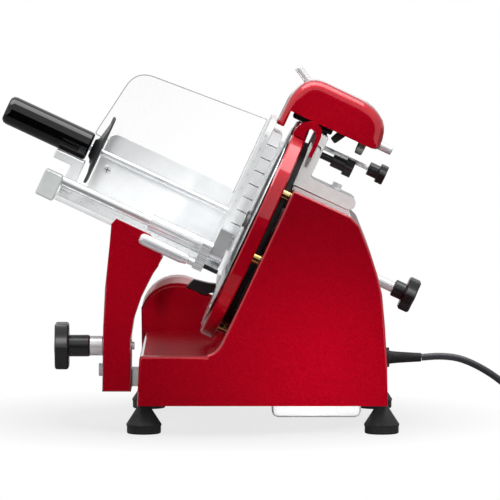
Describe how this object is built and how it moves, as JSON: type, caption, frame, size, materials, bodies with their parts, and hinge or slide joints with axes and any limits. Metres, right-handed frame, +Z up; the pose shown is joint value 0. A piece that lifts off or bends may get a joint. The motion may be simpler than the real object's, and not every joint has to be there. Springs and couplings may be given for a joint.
{
  "type": "meat slicer",
  "caption": "Electric gravity-feed meat slicer with a tilted round blade, sliding carriage, food pusher, thickness setting and top-mounted sharpener.",
  "frame": {"origin": "centre of the box round the slicer without its cord, at the height of the feet's undersides", "axes": "+X from the carriage's knob side towards the motor side, +Y from the machine's rear, where the picture was taken, towards the operator's front, +Z up"},
  "size_m": [0.6405, 0.33, 0.3633],
  "materials": {
    "housing": "glossy metallic red",
    "base_plate": "plain cast",
    "bottom_cover": "plain cast",
    "foot_rear_left": "black",
    "foot_rear_right": "black",
    "foot_front_left": "black",
    "foot_front_right": "black",
    "motor": "plain cast",
    "bearing_housing": "plain cast",
    "hub_bearings": "ground",
    "stay_tube": "ground",
    "blade_cover": "polished",
    "drive_belt": "black",
    "guard_ring": "glossy metallic red",
    "slice_deflector": "polished",
    "switch_plate": "black",
    "gauge_slide_rod": "ground",
    "carriage_rod": "bright",
    "guide_bar": "bright",
    "sharpener_bracket": "polished",
    "adjust_knob": "black",
    "cord_gland": "black",
    "cord": "black",
    "cord_coil": "black",
    "cord_tie": "black",
    "plug": "black",
    "blade": "ground",
    "hub_shaft": "ground",
    "motor_pulley": "ground",
    "tie_rod": "ground",
    "tie_knob": "black",
    "gauge_plate": "polished",
    "gauge_arm": "plain cast",
    "thickness_dial": "pale rose, slightly see-through",
    "button_on": "green",
    "button_off": "red",
    "slide_block": "plain cast",
    "carriage_leg": "glossy metallic red",
    "tray_plate": "polished",
    "tray_wall": "polished",
    "clear_guard": "clear moulded plastic",
    "slide_rod": "bright",
    "end_block": "polished",
    "handle_rest": "polished",
    "carriage_lock_knob": "black",
    "pusher_boss": "polished",
    "lever_grip": "black",
    "pusher_bracket": "polished",
    "pusher_plate": "polished",
    "push_rod": "bright",
    "hand_guard": "black",
    "pusher_handle": "black",
    "sharpener_post": "bright",
    "stone_holder": "black",
    "sharpener_cover": "glossy metallic red",
    "stone_button_1": "ground",
    "stone_1": "dark abrasive",
    "stone_button_2": "ground",
    "stone_2": "grey green abrasive",
    "sharpener_lock_knob": "black"
  },
  "bodies": {
    "base": {"housing": "housing", "base_plate": "base_plate", "bottom_cover": "bottom_cover", "foot_rear_left": "foot_rear_left", "foot_rear_right": "foot_rear_right", "foot_front_left": "foot_front_left", "foot_front_right": "foot_front_right", "motor": "motor", "bearing_housing": "bearing_housing", "hub_bearings": "hub_bearings", "stay_tube": "stay_tube", "blade_cover": "blade_cover", "drive_belt": "drive_belt", "guard_ring": "guard_ring", "slice_deflector": "slice_deflector", "switch_plate": "switch_plate", "gauge_slide_rod": "gauge_slide_rod", "carriage_rod": "carriage_rod", "guide_bar": "guide_bar", "sharpener_bracket": "sharpener_bracket", "adjust_knob": "adjust_knob", "cord_gland": "cord_gland", "cord": "cord", "cord_coil": "cord_coil", "cord_tie": "cord_tie", "plug": "plug"},
    "blade_group": {"blade": "blade", "hub_shaft": "hub_shaft"},
    "motor_drive": {"motor_pulley": "motor_pulley"},
    "cover_tie": {"tie_rod": "tie_rod", "tie_knob": "tie_knob"},
    "gauge": {"gauge_plate": "gauge_plate", "gauge_arm": "gauge_arm"},
    "dial": {"thickness_dial": "thickness_dial"},
    "on_button": {"button_on": "button_on"},
    "off_button": {"button_off": "button_off"},
    "carriage": {"slide_block": "slide_block", "carriage_leg": "carriage_leg", "tray_plate": "tray_plate", "tray_wall": "tray_wall", "clear_guard": "clear_guard", "slide_rod": "slide_rod", "end_block": "end_block", "handle_rest": "handle_rest"},
    "carriage_lock": {"carriage_lock_knob": "carriage_lock_knob"},
    "pusher_slider": {"pusher_boss": "pusher_boss", "lever_grip": "lever_grip"},
    "pusher": {"pusher_bracket": "pusher_bracket", "pusher_plate": "pusher_plate", "push_rod": "push_rod", "hand_guard": "hand_guard", "pusher_handle": "pusher_handle"},
    "sharpener_pin": {"sharpener_post": "sharpener_post"},
    "sharpener_head": {"stone_holder": "stone_holder", "sharpener_cover": "sharpener_cover"},
    "stone_shaft_1": {"stone_button_1": "stone_button_1"},
    "stone_wheel_1": {"stone_1": "stone_1"},
    "stone_shaft_2": {"stone_button_2": "stone_button_2"},
    "stone_wheel_2": {"stone_2": "stone_2"},
    "sharpener_clamp": {"sharpener_lock_knob": "sharpener_lock_knob"}
  },
  "joints": [
    {"name": "blade_spin", "type": "hinge", "parent": "base", "child": "blade_group", "pos_m": [0.0429, -0.04, 0.1975], "axis": [0.9063, 0, -0.4226], "continuous": true},
    {"name": "motor_spin", "type": "hinge", "parent": "base", "child": "motor_drive", "pos_m": [0.05652, -0.04, 0.1084], "axis": [0.9063, 0, -0.4226], "continuous": true},
    {"name": "tie_turn", "type": "hinge", "parent": "base", "child": "cover_tie", "pos_m": [0.19045, -0.04, 0.13532], "axis": [0.9063, 0, -0.4226], "continuous": true},
    {"name": "dial_turn", "type": "hinge", "parent": "base", "child": "dial", "pos_m": [-0.0366, 0.155, 0.098], "axis": [0, 1, 0], "range_deg": [0, 300]},
    {"name": "gauge_slide", "type": "slide", "parent": "base", "child": "gauge", "axis": [0.9063, 0, -0.4226], "range_m": [0, 0.015]},
    {"name": "on_press", "type": "slide", "parent": "base", "child": "on_button", "axis": [0, -1, 0], "range_m": [0, 0.003], "stiffness_N_per_m": 500, "springref_m": -0.002},
    {"name": "off_press", "type": "slide", "parent": "base", "child": "off_button", "axis": [0, -1, 0], "range_m": [0, 0.003], "stiffness_N_per_m": 500, "springref_m": -0.002},
    {"name": "carriage_slide", "type": "slide", "parent": "base", "child": "carriage", "axis": [0, 1, 0], "range_m": [-0.035, 0.095]},
    {"name": "carriage_lock_turn", "type": "hinge", "parent": "carriage", "child": "carriage_lock", "pos_m": [-0.1276, -0.09, 0.0827], "axis": [1, 0, 0], "range_deg": [0, 180]},
    {"name": "pusher_slide", "type": "slide", "parent": "carriage", "child": "pusher_slider", "axis": [0.9063, 0, -0.4226], "range_m": [-0.095, 0]},
    {"name": "pusher_swing", "type": "hinge", "parent": "pusher_slider", "child": "pusher", "pos_m": [0.00617, -0.11, 0.17788], "axis": [0.9063, 0, -0.4226], "range_deg": [0, 90]},
    {"name": "sharpener_lift", "type": "slide", "parent": "base", "child": "sharpener_pin", "axis": [0.4226, 0, 0.9063], "range_m": [0, 0.045]},
    {"name": "sharpener_turn", "type": "hinge", "parent": "sharpener_pin", "child": "sharpener_head", "pos_m": [0.11612, -0.04, 0.30128], "axis": [-0.4226, 0, -0.9063], "range_deg": [0, 180]},
    {"name": "stone_press_1", "type": "slide", "parent": "sharpener_head", "child": "stone_shaft_1", "axis": [0.6057, 0, -0.7957], "range_m": [0, 0.002], "stiffness_N_per_m": 400, "springref_m": -0.002},
    {"name": "stone_spin_1", "type": "hinge", "parent": "stone_shaft_1", "child": "stone_wheel_1", "pos_m": [0.13706, -0.04, 0.29729], "axis": [0.6057, 0, -0.7957], "continuous": true},
    {"name": "stone_press_2", "type": "slide", "parent": "sharpener_head", "child": "stone_shaft_2", "axis": [-0.9063, 0, 0.4226], "range_m": [0, 0.002], "stiffness_N_per_m": 400, "springref_m": -0.002},
    {"name": "stone_spin_2", "type": "hinge", "parent": "stone_shaft_2", "child": "stone_wheel_2", "pos_m": [0.15581, -0.044, 0.28939], "axis": [0.9063, 0, -0.4226], "continuous": true},
    {"name": "sharpener_clamp_turn", "type": "hinge", "parent": "base", "child": "sharpener_clamp", "pos_m": [0.12921, -0.04, 0.26428], "axis": [0.9063, 0, -0.4226], "range_deg": [0, 180]}
  ],
  "couplings": [
    {"joint": "motor_spin", "follows": "blade_spin", "ratio": 3},
    {"joint": "dial_turn", "follows": "gauge_slide", "rad_per_m": 349},
    {"joint": "sharpener_turn", "follows": "sharpener_lift", "rad_per_m": 69.8}
  ]
}
